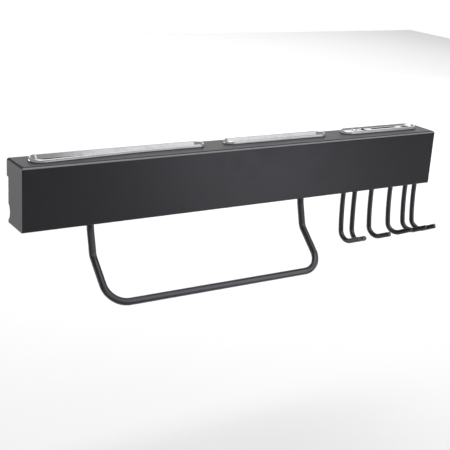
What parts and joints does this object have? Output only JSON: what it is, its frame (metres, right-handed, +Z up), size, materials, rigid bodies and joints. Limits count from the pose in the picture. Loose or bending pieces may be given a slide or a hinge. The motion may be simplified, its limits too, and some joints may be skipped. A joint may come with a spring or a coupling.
{
  "type": "salon styling station",
  "caption": "Wall-hung black steel tool rail with bright drop-in slot liners and a perforated tool deck on top, a towel bar below and sliding, swivelling hooks.",
  "frame": {"origin": "middle of the rear flange's wall face, half way along the rail and 10 mm below its top", "axes": "+X along the rail, from the towel bar's end to the hooks' end; +Y from the front panel into the wall; +Z up"},
  "size_m": [0.5652, 0.0827, 0.1571],
  "materials": {
    "black_sheet": "satin black powder coat on folded steel sheet",
    "black_rod": "satin black powder coat on steel rod",
    "chrome_insert": "polished bright chrome",
    "zinc_steel": "zinc plated steel",
    "black_nylon": "black nylon",
    "black_rubber": "matt black rubber"
  },
  "bodies": {
    "rail": {"body_shell": "black_sheet", "bottom_tray": "black_sheet", "tray_screw_1": "zinc_steel", "tray_screw_2": "zinc_steel", "tray_screw_3": "zinc_steel", "tray_screw_4": "zinc_steel", "towel_bar": "black_rod", "bar_washer_left": "zinc_steel", "bar_washer_right": "zinc_steel", "bar_nut_left": "zinc_steel", "bar_nut_right": "zinc_steel", "bar_jam_nut_left": "zinc_steel", "bar_jam_nut_right": "zinc_steel", "wall_pad_left": "black_rubber", "wall_pad_right": "black_rubber"},
    "long_liner": {"long_liner": "chrome_insert"},
    "short_liner": {"short_liner": "chrome_insert"},
    "tool_deck": {"tool_deck": "chrome_insert"},
    "glide_1": {"hook_glide_1": "black_nylon"},
    "hook_1": {"hook_1": "black_rod", "hook_cap_1": "zinc_steel"},
    "glide_2": {"hook_glide_2": "black_nylon"},
    "hook_2": {"hook_2": "black_rod", "hook_cap_2": "zinc_steel"},
    "glide_3": {"hook_glide_3": "black_nylon"},
    "hook_3": {"hook_3": "black_rod", "hook_cap_3": "zinc_steel"},
    "glide_4": {"hook_glide_4": "black_nylon"},
    "hook_4": {"hook_4": "black_rod", "hook_cap_4": "zinc_steel"},
    "glide_5": {"hook_glide_5": "black_nylon"},
    "hook_5": {"hook_5": "black_rod", "hook_cap_5": "zinc_steel"},
    "glide_6": {"hook_glide_6": "black_nylon"},
    "hook_6": {"hook_6": "black_rod", "hook_cap_6": "zinc_steel"}
  },
  "joints": [
    {"name": "long_liner_lift", "type": "slide", "parent": "rail", "child": "long_liner", "axis": [0, 0, 1], "range_m": [0, 0.06]},
    {"name": "short_liner_lift", "type": "slide", "parent": "rail", "child": "short_liner", "axis": [0, 0, 1], "range_m": [0, 0.06]},
    {"name": "tool_deck_lift", "type": "slide", "parent": "rail", "child": "tool_deck", "axis": [0, 0, 1], "range_m": [0, 0.04]},
    {"name": "glide_1_slide", "type": "slide", "parent": "rail", "child": "glide_1", "axis": [1, 0, 0], "range_m": [-0.025, 0]},
    {"name": "hook_1_swivel", "type": "hinge", "parent": "glide_1", "child": "hook_1", "pos_m": [0.1464, -0.035, -0.058], "axis": [0, 0, 1], "range_deg": [-40, 0]},
    {"name": "glide_2_slide", "type": "slide", "parent": "rail", "child": "glide_2", "axis": [1, 0, 0], "range_m": [0, 0.006]},
    {"name": "hook_2_swivel", "type": "hinge", "parent": "glide_2", "child": "hook_2", "pos_m": [0.1647, -0.035, -0.058], "axis": [0, 0, 1], "range_deg": [0, 35]},
    {"name": "glide_3_slide", "type": "slide", "parent": "rail", "child": "glide_3", "axis": [1, 0, 0], "range_m": [0, 0.012]},
    {"name": "hook_3_swivel", "type": "hinge", "parent": "glide_3", "child": "hook_3", "pos_m": [0.1921, -0.035, -0.058], "axis": [0, 0, 1], "range_deg": [0, 30]},
    {"name": "glide_4_slide", "type": "slide", "parent": "rail", "child": "glide_4", "axis": [1, 0, 0], "range_m": [0, 0.01]},
    {"name": "hook_4_swivel", "type": "hinge", "parent": "glide_4", "child": "hook_4", "pos_m": [0.2237, -0.035, -0.058], "axis": [0, 0, 1], "range_deg": [0, 12]},
    {"name": "glide_5_slide", "type": "slide", "parent": "rail", "child": "glide_5", "axis": [1, 0, 0], "range_m": [0, 0.003]},
    {"name": "hook_5_swivel", "type": "hinge", "parent": "glide_5", "child": "hook_5", "pos_m": [0.2493, -0.035, -0.058], "axis": [0, 0, 1], "range_deg": [0, 8]},
    {"name": "glide_6_slide", "type": "slide", "parent": "rail", "child": "glide_6", "axis": [1, 0, 0], "range_m": [0, 0.002]},
    {"name": "hook_6_swivel", "type": "hinge", "parent": "glide_6", "child": "hook_6", "pos_m": [0.2652, -0.035, -0.058], "axis": [0, 0, 1], "range_deg": [0, 60]}
  ]
}
